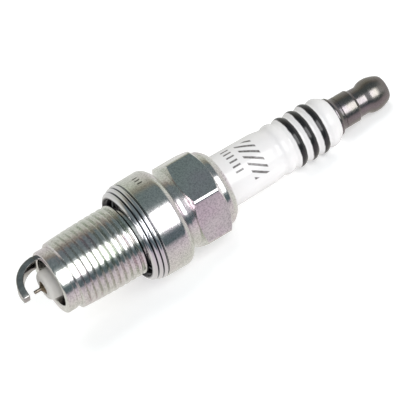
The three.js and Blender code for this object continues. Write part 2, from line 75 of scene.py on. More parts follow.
def turned(profile, steps=120, round_steps=4):
    """A turned body: points of (x, radius) or (x, radius, corner round), spun about the axis."""
    bm = bmesh.new()
    line = [bm.verts.new((x, radius, 0)) for x, radius, *_ in profile]
    for start, end in zip(line, line[1:]):
        bm.edges.new((start, end))
    if all(radius > 0 for _, radius, *_ in profile):
        bm.edges.new((line[-1], line[0]))
    for vert, point in zip(line, profile):
        if len(point) == 3:
            bmesh.ops.bevel(
                bm,
                geom=[vert],
                offset=point[2],
                offset_type="OFFSET",
                affect="VERTICES",
                segments=round_steps,
                profile=0.5,
                material=-1,
            )
    bmesh.ops.remove_doubles(bm, verts=bm.verts, dist=1e-4)
    bmesh.ops.spin(
        bm,
        geom=bm.verts[:] + bm.edges[:],
        cent=(0, 0, 0),
        axis=AXIS,
        dvec=(0, 0, 0),
        angle=2 * math.pi,
        space=Matrix(),
        steps=steps,
        use_merge=True,
        use_normal_flip=False,
        use_duplicate=False,
    )
    bmesh.ops.remove_doubles(bm, verts=bm.verts, dist=1e-4)
    bmesh.ops.recalc_face_normals(bm, faces=bm.faces)
    return bm


def wound_thread(start, end, root, crest, pitch, limit, steps=72):
    """A closed bar of rounded thread section, wound round the axis and turned down to limit(x)."""
    bm = bmesh.new()
    height = crest - root
    bed = root - 0.25
    half = [(pitch / 2 - 0.12, bed), (pitch / 2, root - 0.01)]
    half += [
        (0.45 * pitch, root + 0.08 * height),
        (0.38 * pitch, root + 0.38 * height),
        (0.33 * pitch, root + 0.7 * height),
        (0.28 * pitch, root + 0.9 * height),
        (0.2 * pitch, root + 0.97 * height),
        (0.08 * pitch, crest),
    ]
    section = half + [(-x, radius) for x, radius in reversed(half)]
    middle = start + pitch / 2
    line = [bm.verts.new((middle + x, radius, 0)) for x, radius in section]
    for a, b in zip(line, line[1:] + line[:1]):
        bm.edges.new((a, b))
    turns = (end - start - pitch) / pitch
    count = round(turns * steps)
    bmesh.ops.spin(
        bm,
        geom=bm.verts[:] + bm.edges[:],
        cent=(0, 0, 0),
        axis=AXIS,
        dvec=AXIS * (end - start - pitch) / count,
        angle=2 * math.pi * turns,
        space=Matrix(),
        steps=count,
        use_merge=False,
        use_normal_flip=False,
        use_duplicate=False,
    )
    bmesh.ops.holes_fill(bm, edges=[e for e in bm.edges if e.is_boundary], sides=0)
    for vert in bm.verts:
        radius = math.hypot(vert.co.y, vert.co.z)
        allowed = max(limit(vert.co.x), bed)
        if radius > allowed:
            vert.co.y *= allowed / radius
            vert.co.z *= allowed / radius
    bmesh.ops.recalc_face_normals(bm, faces=bm.faces)
    return bm


def between(x, stations):
    """Straight-line reading of a table of (x, value)."""
    for (x0, v0), (x1, v1) in zip(stations, stations[1:]):
        if x <= x1:
            return v0 + (v1 - v0) * max(0, (x - x0) / (x1 - x0))
    return stations[-1][1]


def shell_thread_limit(x):
    """The mounting thread's crest at x. It grows over the first turns and ends at the relief."""
    return between(
        x,
        [
            (thread_start, thread_root - 0.2),
            (thread_start + 0.45, 6.6),
            (thread_start + 2, 6.74),
            (thread_start + 4.5, 6.86),
            (thread_start + 7, 6.95),
            (thread_start + 10, thread_crest),
            (thread_end - 0.7, thread_crest),
            (thread_end, thread_bed),
        ],
    )


def milled_hexagon():
    """A turned blank with a chamfer at each end, and six flats cut off it."""
    flat = hex_across_flats / 2
    spare = 0.05  # turned past the corners and the end face
    corner = flat / math.cos(math.radians(30)) + spare
    front_radius = flat - 0.24
    back_radius = front_radius + 0.2
    blank_bore = 6.3
    bm = turned(
        [
            (hex_start, blank_bore),
            (hex_start, front_radius),
            (hex_start + hex_chamfer_front, corner),
            (hex_end - hex_chamfer_back, corner),
            (hex_end + spare, back_radius),
            (hex_end + spare, blank_bore),
        ],
        steps=144,
    )
    for side in range(6):
        facing = Matrix.Rotation(math.radians(60 * side), 3, "X") @ Vector((0, -1, 0))
        cut = bmesh.ops.bisect_plane(
            bm,
            geom=bm.verts[:] + bm.edges[:] + bm.faces[:],
            dist=1e-5,
            plane_co=facing * flat,
            plane_no=facing,
            clear_outer=True,
            clear_inner=False,
        )
        edge = [e for e in cut["geom_cut"] if isinstance(e, bmesh.types.BMEdge)]
        bmesh.ops.contextual_create(bm, geom=edge)
    corners = [
        e
        for e in bm.edges
        if abs((e.verts[0].co - e.verts[1].co).normalized().x) > 0.99
        and min(math.hypot(v.co.y, v.co.z) for v in e.verts) > corner - 0.4
        and e.calc_face_angle(0) > math.radians(40)
    ]
    bmesh.ops.bevel(
        bm,
        geom=corners,
        offset=hex_corner_round,
        offset_type="OFFSET",
        affect="EDGES",
        segments=8,
        profile=0.5,
        clamp_overlap=False,
        material=-1,
    )
    bmesh.ops.recalc_face_normals(bm, faces=bm.faces)
    return bm


def joined(*bodies):
    """The bodies as one mesh, still separate shells."""
    whole = bodies[0]
    for body in bodies[1:]:
        loose = bpy.data.meshes.new("loose")
        body.to_mesh(loose)
        body.free()
        whole.from_mesh(loose)
        bpy.data.meshes.remove(loose)
    return whole


def made_piece(name, bm, material, sharp_above=32):
    """Turns a body in millimetres into a finished object in metres, smooth up to a crease angle."""
    bmesh.ops.scale(bm, vec=(MM, MM, MM), verts=bm.verts)
    mesh = bpy.data.meshes.new(name)
    bm.to_mesh(mesh)
    bm.free()
    mesh.shade_smooth()
    mesh.set_sharp_from_angle(angle=math.radians(sharp_above))
    mesh.materials.append(material)
    piece = bpy.data.objects.new(name, mesh)
    bpy.context.scene.collection.objects.link(piece)
    return piece


def new_finish(name):
    """An empty node material and its shader."""
    material = bpy.data.materials.new(name)
    material.use_nodes = True
    return material, material.node_tree, material.node_tree.nodes["Principled BSDF"]


def place_on_piece(tree, stretch=(1, 1, 1)):
    """Object coordinates, stretched, for a pattern that stays on the piece."""
    coords = tree.nodes.new("ShaderNodeTexCoord")
    mapping = tree.nodes.new("ShaderNodeMapping")
    mapping.inputs["Scale"].default_value = stretch
    tree.links.new(coords.outputs["Object"], mapping.inputs["Vector"])
    return mapping.outputs["Vector"]


def speckle(tree, size_mm, detail=3, stretch=(1, 1, 1), rough=0.55):
    """Noise whose blotches are about size_mm across."""
    noise = tree.nodes.new("ShaderNodeTexNoise")
    noise.inputs["Scale"].default_value = 1 / (size_mm * MM)
    noise.inputs["Detail"].default_value = detail
    noise.inputs["Roughness"].default_value = rough
    tree.links.new(place_on_piece(tree, stretch), noise.inputs["Vector"])
    return noise.outputs["Fac"]


def graded(tree, value, stops):
    """Colours or greys along a value."""
    ramp = tree.nodes.new("ShaderNodeValToRGB")
    elements = ramp.color_ramp.elements
    while len(elements) < len(stops):
        elements.new(0.5)
    for element, (position, colour) in zip(elements, stops):
        element.position = position
        element.color = (*colour, 1) if isinstance(colour, tuple) else (colour,) * 3 + (1,)
    tree.links.new(value, ramp.inputs["Fac"])
    return ramp.outputs["Color"]


def blended(tree, below, above, share, mode="MIX"):
    """Two colours mixed by a share, which is a socket or a number."""
    mix = tree.nodes.new("ShaderNodeMix")
    mix.data_type = "RGBA"
    mix.blend_type = mode
    for socket, value in (("A_Color", below), ("B_Color", above), ("Factor_Float", share)):
        target = next(s for s in mix.inputs if s.identifier == socket)
        if isinstance(value, bpy.types.NodeSocket):
            tree.links.new(value, target)
        elif isinstance(value, tuple):
            target.default_value = (*value, 1)
        else:
            target.default_value = value
    return next(s for s in mix.outputs if s.identifier == "Result_Color")


def roughened(tree, shader, height, depth_mm, strength=1.0):
    """Surface relief from a height pattern."""
    bump = tree.nodes.new("ShaderNodeBump")
    bump.inputs["Strength"].default_value = strength
    bump.inputs["Distance"].default_value = depth_mm * MM
    tree.links.new(height, bump.inputs["Height"])
    tree.links.new(bump.outputs["Normal"], shader.inputs["Normal"])


def along_axis(tree):
    """The x coordinate on the piece, in millimetres."""
    split = tree.nodes.new("ShaderNodeSeparateXYZ")
    tree.links.new(place_on_piece(tree, (1 / MM,) * 3), split.inputs["Vector"])
    return split.outputs["X"]


def arithmetic(tree, operation, *values):
    """One step of arithmetic on sockets or numbers."""
    node = tree.nodes.new("ShaderNodeMath")
    node.operation = operation
    for socket, value in zip(node.inputs, values):
        if isinstance(value, bpy.types.NodeSocket):
            tree.links.new(value, socket)
        else:
            socket.default_value = value
    return node.outputs["Value"]


def inside(tree, value, low, high, soft=0.03):
    """1 where value lies between low and high, with soft edges."""
    middle, half = (low + high) / 2, (high - low) / 2
    away = arithmetic(tree, "ABSOLUTE", arithmetic(tree, "SUBTRACT", value, middle))
    step = tree.nodes.new("ShaderNodeMapRange")
    step.inputs["From Min"].default_value = half + soft
    step.inputs["From Max"].default_value = half - soft
    tree.links.new(away, step.inputs["Value"])
    return step.outputs["Result"]


def round_axis(tree):
    """The angle about the axis, in degrees: 0 at -Y, 90 at +Z."""
    split = tree.nodes.new("ShaderNodeSeparateXYZ")
    tree.links.new(place_on_piece(tree), split.inputs["Vector"])
    back = arithmetic(tree, "MULTIPLY", split.outputs["Y"], -1.0)
    turn = arithmetic(tree, "ARCTAN2", split.outputs["Z"], back)
    return arithmetic(tree, "MULTIPLY", turn, 180 / math.pi)


def largest(tree, values):
    """The greatest of several shares."""
    most = values[0]
    for value in values[1:]:
        most = arithmetic(tree, "MAXIMUM", most, value)
    return most


def stamped_marks(tree):
    """Three short plain dashes stamped into the collar."""
    x, turn = along_axis(tree), round_axis(tree)
    dashes = [
        inside(tree, turn, middle - mark_half_turn, middle + mark_half_turn, 0.5)
        for middle in mark_turns
    ]
    return arithmetic(
        tree, "MULTIPLY", largest(tree, dashes), inside(tree, x, mark_start, mark_end, 0.1)
    )


def bright_plating():
    material, tree, shader = new_finish("bright_plating")
    tint = graded(
        tree,
        speckle(tree, 7, detail=1),
        [(0.34, (0.82, 0.85, 0.79)), (0.5, (0.88, 0.88, 0.85)), (0.66, (0.88, 0.81, 0.84))],
    )
    stain = graded(tree, speckle(tree, 0.3, detail=5, rough=0.65), [(0.36, 0.70), (0.56, 1.0)])
    plated = blended(tree, tint, stain, 1.0, "MULTIPLY")
    marked = blended(tree, plated, (0.10, 0.09, 0.085), stamped_marks(tree))
    tree.links.new(marked, shader.inputs["Base Color"])
    grey = graded(tree, speckle(tree, 0.5, detail=3), [(0.3, 0.10), (0.7, 0.19)])
    tree.links.new(grey, shader.inputs["Roughness"])
    shader.inputs["Metallic"].default_value = 1
    lathe_marks = speckle(tree, 0.16, detail=2, stretch=(1, 0.05, 0.05))
    grain = blended(tree, speckle(tree, 0.26, detail=4), lathe_marks, 0.45)
    roughened(tree, shader, grain, 0.010, 0.7)
    return material


shell_body = turned(
    [
        (firing_face, mouth_radius + 0.2, 0.08),
        (firing_face, lead_radius, 0.28),
        (thread_start - 0.25, lead_radius, 0.1),
        (thread_start - 0.1, thread_bed),
        (thread_end - 0.1, thread_bed),
        (thread_end + 0.1, relief_radius, 0.06),
        (0, relief_radius, 0.1),
        (0, collar_radius - 0.05, 0.22),
        (4.65, collar_radius, 0.35),
        (5.5, 9.02, 0.4),
        (neck_start, 7.85, 0.25),
        (neck_start, 7.15, 0.2),
        (7.15, 7.12, 0.3),
        (hex_start + 0.05, 7.75),
        (hex_start + 1, under_hexagon),
        (hex_end - 0.5, under_hexagon),
        (hex_end + 0.05, 7.45, 0.04),
        (15.5, 7.33, 0.25),
        (16.2, 6.85, 0.35),
        (rim_top - 0.22, 6.25, 0.25),
        (rim_top, 5.7, 0.12),
        (rim_top, rim_bore_radius),
        (rim_top - 1.1, rim_bore_radius),
        (rim_top - 1.65, flange_bore_radius),
        (5.6, flange_bore_radius),
        (4.6, body_bore_radius),
        (-7, body_bore_radius),
        (-7.6, ledge_radius),
        (-10.3, ledge_radius),
        (-11.3, mouth_radius),
        (firing_face + 0.2, mouth_radius, 0.05),
    ]
)
rolled_thread = wound_thread(
    thread_start, thread_end, thread_root, thread_crest, thread_pitch, shell_thread_limit
)
shell_piece = made_piece(
    "shell", joined(shell_body, rolled_thread, milled_hexagon()), bright_plating()
)
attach(shell_piece, "plug_body")
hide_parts("metal_shell")

# ------------------------------------------------------------------------------------------------
# Ground strap. A flat drawn bar of nickel alloy, resistance welded to the shell's end face and
# bent over the centre electrode. Its free end is cut to a taper, and its edges are rounded by
# drawing.
strap_tip = (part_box("ground_electrode")[0] / MM).x
strap_sink = 0.05  # how far the strap starts inside the shell's face
strap_width, strap_thickness = 2.6, 1.3
strap_inner_radius, strap_bend = 4.735, 4.3
strap_clock = -65
strap_overrun, strap_end_width, strap_taper = 0.55, 1.5, 2.2
strap_inner_face = strap_tip + strap_thickness


def bent_strap():
    """A bar drawn out from the shell's face, bent inwards over the tip and tapered to its end."""
    bm = bmesh.new()
    half = strap_width / 2
    outer = strap_inner_radius + strap_thickness
    ring = [
        bm.verts.new((firing_face + strap_sink, y, z))
        for y, z in (
            (-half, strap_inner_radius),
            (half, strap_inner_radius),
            (half, outer),
            (-half, outer),
        )
    ]
    edges = [bm.edges.new(pair) for pair in zip(ring, ring[1:] + ring[:1])]
    bend_x = strap_inner_face + strap_bend
    bend_z = strap_inner_radius - strap_bend

    def drawn_on(edges, move):
        made = bmesh.ops.extrude_edge_only(bm, edges=edges)["geom"]
        verts = [g for g in made if isinstance(g, bmesh.types.BMVert)]
        bmesh.ops.translate(bm, vec=move, verts=verts)
        new_edges = [g for g in made if isinstance(g, bmesh.types.BMEdge)]
        return [e for e in new_edges if all(v in verts for v in e.verts)]

    edges = drawn_on(edges, (bend_x - firing_face - strap_sink, 0, 0))
    last = bmesh.ops.spin(
        bm,
        geom=edges,
        cent=(bend_x, 0, bend_z),
        axis=(0, -1, 0),
        dvec=(0, 0, 0),
        angle=math.radians(90),
        space=Matrix(),
        steps=24,
        use_merge=False,
        use_normal_flip=False,
        use_duplicate=False,
    )["geom_last"]
    edges = [g for g in last if isinstance(g, bmesh.types.BMEdge)]
    taper_start = strap_taper - strap_overrun
    if bend_z > taper_start:
        edges = drawn_on(edges, (0, 0, taper_start - bend_z))
    edges = drawn_on(edges, (0, 0, -strap_overrun - min(bend_z, taper_start)))
    bmesh.ops.holes_fill(bm, edges=[e for e in bm.edges if e.is_boundary], sides=0)
    bmesh.ops.recalc_face_normals(bm, faces=bm.faces)
    for vert in bm.verts:
        if vert.co.z < taper_start:
            share = (taper_start - vert.co.z) / strap_taper
            vert.co.y *= 1 - share * (1 - strap_end_width / strap_width)
    rims = [e for e in bm.edges if e.calc_face_angle(0) > math.radians(50)]
    bmesh.ops.bevel(
        bm,
        geom=rims,
        offset=0.2,
        offset_type="OFFSET",
        affect="EDGES",
        segments=4,
        profile=0.5,
        clamp_overlap=True,
        material=-1,
    )
    bmesh.ops.rotate(
        bm,
        cent=(0, 0, 0),
        matrix=Matrix.Rotation(math.radians(strap_clock), 3, "X"),
        verts=bm.verts,
    )
    bmesh.ops.recalc_face_normals(bm, faces=bm.faces)
    return bm


def bare_metal(name, dark, light, blotch_mm, smooth, rough, wear_mm, grain_mm, grain_depth_mm):
    """Unplated metal, mottled in colour and in roughness, with a fine grain."""
    material, tree, shader = new_finish(name)
    tone = graded(tree, speckle(tree, blotch_mm, detail=3), [(0.3, dark), (0.7, light)])
    tree.links.new(tone, shader.inputs["Base Color"])
    grey = graded(tree, speckle(tree, wear_mm), [(0.3, smooth), (0.7, rough)])
    tree.links.new(grey, shader.inputs["Roughness"])
    shader.inputs["Metallic"].default_value = 1
    roughened(tree, shader, speckle(tree, grain_mm, detail=2), grain_depth_mm, 0.6)
    return material


def drawn_nickel():
    dark, light = (0.40, 0.39, 0.375), (0.60, 0.59, 0.58)
    return bare_metal("drawn_nickel", dark, light, 0.9, 0.1, 0.18, 0.4, 0.12, 0.004)


strap_piece = made_piece("ground_strap", bent_strap(), drawn_nickel())
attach(strap_piece, "plug_body")
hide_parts("ground_electrode")

# ------------------------------------------------------------------------------------------------
# Insulator. Pressed and fired alumina, ground to shape, then glazed clear over the part that
# shows above the shell, with a glossy black glaze rolled onto three of its ribs. A plain
# decoration of short bars is printed on the barrel. The nose inside the shell is left unglazed.
insulator_low, insulator_high = (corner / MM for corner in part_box("insulator"))
nose_tip, head_end = insulator_low.x, insulator_high.x
rib_pitch, first_rib = 2.5, 29.75
black_bands = [(31.8, 33.2), (34.3, 35.7), (36.8, 38.15)]
head_crest = first_rib + 3.94 * rib_pitch
body_radius, flange_radius, barrel_radius = 4.75, 5.85, 5.1
wire_bore_radius, stud_bore_radius = 1.3, 1.95
bore_step_front, bore_step_back = -8.6, -8.0
glaze_start = -8.0
bar_lean = 7.5  # degrees round the barrel for each millimetre along it
insulator_profile = [
    (nose_tip, wire_bore_radius, 0.05),
    (nose_tip, 2.75, 0.75),
    (-7.3, 3.45, 0.5),
    (-6.9, body_radius, 0.3),
    (4.75, body_radius, 0.2),
    (5.8, flange_radius, 0.2),
    (12.0, flange_radius, 0.3),
    (12.6, barrel_radius, 0.2),
    (rim_top, barrel_radius),
    (26.6, 4.98, 0.8),
    (28.5, 4.58, 0.45),
    (29.3, 4.98, 0.35),
    (30.15, 4.98, 0.4),
    (31.0, 4.5, 0.3),
]
for crest in (first_rib + rib_pitch * n for n in (1, 2, 3)):
    insulator_profile += [
        (crest - 0.75, 4.78, 0.2),
        (crest - 0.3, 5.0, 0.28),
        (crest + 0.35, 5.0, 0.32),
        (crest + 1.2, 4.47, 0.28),
    ]
insulator_profile += [
    (head_crest - 0.35, 4.8, 0.25),
    (head_crest + 0.4, 4.8, 0.3),
    (head_crest + 1.0, 4.5, 0.4),
    (head_end, 3.85, 0.06),
    (head_end, stud_bore_radius),
    (bore_step_back, stud_bore_radius),
    (bore_step_front, wire_bore_radius),
]


def printed_bars(tree):
    """Two rows of plain bars round the barrel: leaning broad ones and upright narrow ones."""
    x, turn = along_axis(tree), round_axis(tree)
    lean = arithmetic(tree, "ADD", turn, arithmetic(tree, "MULTIPLY", x, bar_lean))
    rows = []
    # the row's start and end, the bars' pitch and printed share, the first and last angle
    for row_low, row_high, pitch, share, value, low, high in (
        (21.9, 25.1, 17.0, 0.36, lean, 2, 94),
        (19.2, 20.8, 12.0, 0.34, turn, 26, 104),
    ):
        wave = arithmetic(tree, "PINGPONG", value, pitch / 2)
        bar = inside(tree, wave, -1, pitch * share / 2, 0.5)
        row = inside(tree, x, row_low, row_high, 0.06)
        span = inside(tree, turn, low, high, 0.6)
        rows.append(arithmetic(tree, "MULTIPLY", arithmetic(tree, "MULTIPLY", bar, row), span))
    return largest(tree, rows)


def glazed_alumina():
    material, tree, shader = new_finish("glazed_alumina")
    x = along_axis(tree)
    white = graded(
        tree,
        speckle(tree, 5, detail=2),
        [(0.3, (0.73, 0.712, 0.712)), (0.7, (0.765, 0.748, 0.748))],
    )
    bars = printed_bars(tree)
    worn_print = graded(tree, speckle(tree, 0.4), [(0.3, 0.7), (0.6, 0.92)])
    print_share = arithmetic(tree, "MULTIPLY", bars, worn_print)
    printed = blended(tree, white, (0.07, 0.062, 0.06), print_share)
    drift = arithmetic(tree, "SUBTRACT", speckle(tree, 2.2), 0.5)
    wobble = arithmetic(tree, "MULTIPLY", drift, 0.35)
    edge = arithmetic(tree, "ADD", x, wobble)
    band = largest(tree, [inside(tree, edge, low, high, 0.09) for low, high in black_bands])
    bare = inside(tree, x, nose_tip - 1, glaze_start, 0.3)
    unglazed = blended(tree, printed, (0.60, 0.575, 0.545), bare)
    colour = blended(tree, unglazed, (0.012, 0.012, 0.013), band)
    tree.links.new(colour, shader.inputs["Base Color"])
    matt = graded(tree, bare, [(0.0, 0.13), (1.0, 0.6)])
    tree.links.new(matt, shader.inputs["Roughness"])
    shader.inputs["IOR"].default_value = 1.52
    shader.inputs["Subsurface Weight"].default_value = 0.12
    shader.inputs["Subsurface Radius"].default_value = (1, 0.95, 0.9)
    shader.inputs["Subsurface Scale"].default_value = 0.0006
    roughened(tree, shader, speckle(tree, 1.1, detail=2), 0.006, 0.5)
    return material


insulator_piece = made_piece("insulator_body", turned(insulator_profile), glazed_alumina(), 50)
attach(insulator_piece, "plug_body")
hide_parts("insulator")

# ------------------------------------------------------------------------------------------------
# Centre electrode. A nickel-alloy rod with a copper core, swaged to a concave cone where it
# leaves the nose, and browned by welding. A hard fine wire is laser welded into its end.
electrode_front = (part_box("centre_electrode")[0] / MM).x
pin_low, pin_high = (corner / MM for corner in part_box("iridium_tip"))
pin_radius, pin_socket = 0.32, 0.5
socket_radius = pin_radius + 0.02
rod_radius = 1.24
rod_head_radius, rod_head_end = 1.88, -6.9
core_bore_radius, core_front = 0.63, -18.6
electrode_profile = [
    (electrode_front + pin_socket, 0),
    (electrode_front + pin_socket, socket_radius),
    (electrode_front, socket_radius),
    (electrode_front - 0.02, pin_radius + 0.12, 0.03),
    (electrode_front + 0.16, pin_radius + 0.26, 0.1),
    (nose_tip, rod_radius, 0.05),
    (bore_step_front, rod_radius),
    (bore_step_back, rod_head_radius),
    (rod_head_end, rod_head_radius),
    (rod_head_end, core_bore_radius),
    (core_front, core_bore_radius),
    (core_front, 0),
]


def browned_nickel():
    dark, light = (0.12, 0.09, 0.06), (0.30, 0.24, 0.16)
    return bare_metal("browned_nickel", dark, light, 0.5, 0.24, 0.42, 0.2, 0.1, 0.005)


def hard_wire():
    dark, light = (0.16, 0.135, 0.11), (0.34, 0.30, 0.25)
    return bare_metal("hard_wire", dark, light, 0.3, 0.2, 0.36, 0.15, 0.08, 0.003)


electrode_piece = made_piece("electrode_rod", turned(electrode_profile, 64), browned_nickel())
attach(electrode_piece, "plug_body")
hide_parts("centre_electrode")

pin_profile = [
    (pin_low.x, 0),
    (pin_low.x, pin_radius, 0.05),
    (pin_high.x, pin_radius),
    (pin_high.x, 0),
]
pin_piece = made_piece("electrode_pin", turned(pin_profile, 40), hard_wire())
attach(pin_piece, "plug_body")
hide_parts("iridium_tip")

# ------------------------------------------------------------------------------------------------
# Core, seals and resistor. Inside the insulator's bore, from the firing end: the electrode's
# copper core, a fused copper-glass seal, the carbon-glass resistor and a second glass seal.
# They are packed as powder and hot pressed, and none of them shows in the finished plug.


def inner_finish(name, dark, light, blotch_mm, roughness, metallic):
    """A plain mottled finish for a piece that is closed inside the plug."""
    material, tree, shader = new_finish(name)
    tone = graded(tree, speckle(tree, blotch_mm, detail=4), [(0.35, dark), (0.65, light)])
    tree.links.new(tone, shader.inputs["Base Color"])
    low, high = roughness
    grey = graded(tree, speckle(tree, blotch_mm / 2), [(0.3, low), (0.7, high)])
    tree.links.new(grey, shader.inputs["Roughness"])
    shader.inputs["Metallic"].default_value = metallic
    roughened(tree, shader, speckle(tree, blotch_mm / 3, detail=2), 0.01, 0.5)
    return material


def given_finish(node, material):
    """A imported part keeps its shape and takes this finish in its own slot."""
    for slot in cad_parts[node].material_slots:
        slot.material = material


seal_glass = inner_finish(
    "seal_glass", (0.13, 0.11, 0.09), (0.34, 0.27, 0.2), 0.3, (0.3, 0.5), 0.2
)
drawn_copper = inner_finish(
    "drawn_copper", (0.6, 0.3, 0.17), (0.8, 0.46, 0.3), 0.8, (0.25, 0.4), 1
)
resistor_mass = inner_finish(
    "resistor_mass", (0.05, 0.05, 0.05), (0.16, 0.15, 0.15), 0.35, (0.7, 0.9), 0
)
given_finish("copper_core", drawn_copper)
given_finish("lower_glass_seal", seal_glass)
given_finish("resistor", resistor_mass)
given_finish("upper_glass_seal", seal_glass)

# ------------------------------------------------------------------------------------------------
# Terminal stud. A steel pin with an M4 thread, a flange that sits on the insulator's end and a
# knurled root held in the upper glass seal. It is plated dark, like the nut on it.
stud_low, stud_high = (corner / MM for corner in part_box("terminal_stud"))
stud_root, stud_end = stud_low.x, stud_high.x
stud_flange_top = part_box("terminal_nut")[0].x / MM
stud_flange_radius = 3.8
stud_root_radius, stud_root_end, stud_shaft_radius = 1.4, stud_root + 3, 1.75
stud_thread_root, stud_thread_crest, stud_pitch = 1.57, 2.0, 0.7
stud_thread_start, stud_thread_end = stud_flange_top + 0.35, stud_end - 0.35
stud_profile = [
    (stud_root, 0),
    (stud_root, stud_root_radius, 0.1),
    (stud_root_end, stud_root_radius),
    (stud_root_end, stud_shaft_radius, 0.05),
    (head_end, stud_shaft_radius),
    (head_end, stud_flange_radius - 0.1, 0.05),
    (head_end + 0.2, stud_flange_radius, 0.08),
    (head_end + 0.5, stud_flange_radius - 0.06, 0.1),
    (head_end + 0.64, 3.4, 0.06),
    (head_end + 1.05, 3.18, 0.2),
    (stud_flange_top - 0.15, 3.12, 0.04),
    (stud_flange_top, 3.05, 0.04),
    (stud_flange_top, stud_thread_root - 0.1),
    (stud_end - 0.3, stud_thread_root - 0.1),
    (stud_end, stud_thread_root - 0.3),
    (stud_end, 0),
]


def stud_thread_limit(x):
    """The stud thread's crest at x, run out at both ends."""
    return between(
        x,
        [
            (stud_thread_start, stud_thread_root - 0.2),
            (stud_thread_start + 0.5, stud_thread_crest),
            (stud_thread_end - 0.6, stud_thread_crest),
            (stud_thread_end, stud_thread_root - 0.2),
        ],
    )


def dark_plating(name, olive, violet):
    material, tree, shader = new_finish(name)
    tone = graded(tree, speckle(tree, 3.5, detail=2), [(0.35, olive), (0.65, violet)])
    worn = graded(tree, speckle(tree, 0.25, detail=4), [(0.3, 0.8), (0.6, 1.0)])
    tree.links.new(blended(tree, tone, worn, 1.0, "MULTIPLY"), shader.inputs["Base Color"])
    grey = graded(tree, speckle(tree, 0.4), [(0.3, 0.2), (0.7, 0.31)])
    tree.links.new(grey, shader.inputs["Roughness"])
    shader.inputs["Metallic"].default_value = 1
    roughened(tree, shader, speckle(tree, 0.2, detail=2), 0.004, 0.6)
    return material


stud_thread = wound_thread(
    stud_thread_start,
    stud_thread_end,
    stud_thread_root,
    stud_thread_crest,
    stud_pitch,
    stud_thread_limit,
    steps=40,
)
stud_piece = made_piece(
    "stud",
    joined(turned(stud_profile, 80), stud_thread),
    dark_plating("dark_plated_stud", (0.25, 0.24, 0.22), (0.29, 0.26, 0.28)),
)
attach(stud_piece, "plug_body")
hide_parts("terminal_stud")

# ------------------------------------------------------------------------------------------------
# Terminal nut. Turned from steel bar, bored blind and tapped, and screwed onto the stud. The
# ignition lead's cap snaps into the groove between its base and its rounded barrel.
nut_low, nut_high = (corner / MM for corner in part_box("terminal_nut"))
nut_start, nut_end = nut_low.x, nut_high.x
nut_bore, nut_countersink = 2.1, 0.35
nut_bore_end = nut_end - 1.2
nut_base_radius, nut_base_end = 3.12, 46.05
nut_profile = [
    (nut_bore_end, 0),
    (nut_bore_end, nut_bore),
    (nut_start + nut_countersink, nut_bore),
    (nut_start, nut_bore + nut_countersink),
    (nut_start, nut_base_radius, 0.06),
    (nut_base_end, nut_base_radius, 0.12),
    (46.4, 2.76, 0.15),
    (48.3, 2.68, 0.25),
    (49.15, 3.12, 0.3),
    (49.95, 3.24, 0.5),
    (50.9, 3.2, 0.4),
    (52.2, 2.82, 0.45),
    (52.95, 2.42, 0.2),
    (nut_end, 2.1, 0.12),
    (nut_end, 0),
]
nut_piece = made_piece(
    "cap_nut",
    turned(nut_profile, 96),
    dark_plating("dark_plated_nut", (0.28, 0.265, 0.235), (0.30, 0.27, 0.285)),
    40,
)
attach(nut_piece, "terminal_nut")
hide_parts("terminal_nut")

# ------------------------------------------------------------------------------------------------
# Gasket. A ring folded from thin bright-plated sheet steel, so that it crushes flat against the
# cylinder head. A lip inside it is smaller than the thread, which keeps it on the plug.
gasket_low, gasket_high = (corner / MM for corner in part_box("gasket"))
gasket_front = gasket_low.x
gasket_radius = gasket_high.z
# Spans along the axis where painted shade darkens the gasket's three creases.
gasket_crease_shade_spans = [(-2.02, -1.79), (-1.16, -0.93), (-0.29, -0.06)]
gasket_bore_radius, lip_radius = 7.6, 6.6
lip_front, lip_back = -1.0, -0.5
# Painted shade: nearer the axis than shade_end the gasket is painted near-black, and from
# light_start out it keeps its own colour.
shade_end, light_start, shade_scale = 8.0, 8.3, 10.0  # mm from the axis
gasket_profile = [
    (gasket_front + 0.5, 7.75, 0.15),
    (gasket_front, 7.95, 0.12),
    (gasket_front, 8.25, 0.2),
    (-2.45, 8.78, 0.25),
    (-2.1, 8.86, 0.16),
    (-1.9, 8.5, 0.04),
    (-1.72, 9.0, 0.16),
    (-1.24, 9.28, 0.2),
    (-1.04, 8.9, 0.04),
    (-0.86, 9.36, 0.16),
    (-0.36, gasket_radius, 0.18),
    (-0.16, 9.0, 0.04),
    (0, 8.95, 0.04),
    (0, gasket_bore_radius, 0.1),
    (lip_back, gasket_bore_radius),
    (lip_back, lip_radius, 0.1),
    (lip_front, lip_radius, 0.1),
    (lip_front, gasket_bore_radius, 0.2),
    (gasket_front + 0.6, gasket_bore_radius),
]


def from_axis(tree):
    """The distance from the axis on the piece, in millimetres."""
    split = tree.nodes.new("ShaderNodeSeparateXYZ")
    tree.links.new(place_on_piece(tree, (1 / MM,) * 3), split.inputs["Vector"])
    squares = [
        arithmetic(tree, "POWER", arithmetic(tree, "ABSOLUTE", split.outputs[side]), 2.0)
        for side in "YZ"
    ]
    return arithmetic(tree, "SQRT", arithmetic(tree, "ADD", *squares))


